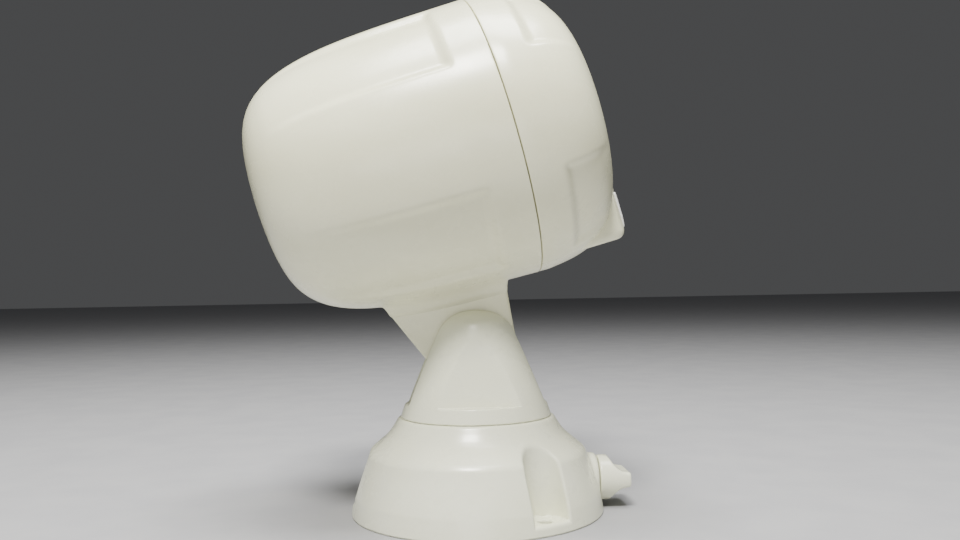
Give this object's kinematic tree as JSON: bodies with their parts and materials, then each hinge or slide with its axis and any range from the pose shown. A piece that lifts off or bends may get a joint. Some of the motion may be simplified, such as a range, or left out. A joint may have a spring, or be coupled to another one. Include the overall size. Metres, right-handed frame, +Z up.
{
  "type": "battery LED spotlight with motion sensor",
  "caption": "Wireless battery LED spotlight with a motion sensor below its lens, tilting on a swivelling screw-down base.",
  "frame": {"origin": "centre of the base's mounting face, on the swivel axis", "axes": "+Z up along the swivel axis, away from the mounting face; +X the way the head faces at rest; +Y along the tilt pivot"},
  "size_m": [0.1524, 0.114, 0.2085],
  "materials": {
    "housing": "satin warm white moulding",
    "base_white": "satin white moulding",
    "clear": "clear polished",
    "seal": "matt black",
    "mirror_cup": "polished",
    "emitter": "yellow phosphor",
    "board": "solder resist",
    "board_white": "white solder resist",
    "parts_dark": "moulded packages",
    "heat_metal": "extruded",
    "black_plastic": "fine texture",
    "contact": "bright",
    "steel": "zinc plated",
    "sensor_window": "translucent milky white",
    "cell_wrap": "printed-film wrap, plain"
  },
  "bodies": {
    "base": {"base_shell": "base_white", "clamp_insert": "contact"},
    "clamp": {"thumb_knob": "base_white", "thumb_shaft": "steel"},
    "fork": {"swivel_fork": "base_white", "pivot_insert": "contact", "pivot_bolt": "steel", "friction_washers": "seal", "pan_washer": "steel", "pan_screw": "steel"},
    "head": {"rear_housing": "housing", "battery_carrier": "black_plastic", "battery_1": "cell_wrap", "battery_2": "cell_wrap", "battery_3": "cell_wrap", "battery_4": "cell_wrap", "contact_springs": "steel", "contact_plates": "steel", "contact_fingers": "contact"},
    "bezel": {"front_bezel": "housing", "front_lens": "clear", "lens_gasket": "seal", "reflector": "mirror_cup", "led_board": "board_white", "led_emitter": "emitter", "heat_sink": "heat_metal", "driver_board": "board", "driver_parts": "parts_dark", "lamp_cover": "black_plastic", "cover_screws": "steel", "contact_rings": "contact", "pir_lens": "sensor_window", "pir_sensor": "steel", "sensor_board": "board", "photocell": "emitter", "housing_seal": "seal"}
  },
  "joints": [
    {"name": "swivel", "type": "hinge", "parent": "base", "child": "fork", "pos_m": [0, 0, 0.02], "axis": [0, 0, 1], "continuous": true},
    {"name": "tilt", "type": "hinge", "parent": "fork", "child": "head", "pos_m": [0, 0, 0.066], "axis": [0, -1, 0], "range_deg": [-60, 40]},
    {"name": "bezel_twist", "type": "hinge", "parent": "head", "child": "bezel", "pos_m": [0.0152, 0, 0.152], "axis": [0.9617, 0, 0.274], "range_deg": [0, 32]},
    {"name": "clamp_turn", "type": "hinge", "parent": "base", "child": "clamp", "pos_m": [0.0492, 0, 0.0114], "axis": [1, 0, 0], "range_deg": [0, 720]}
  ]
}
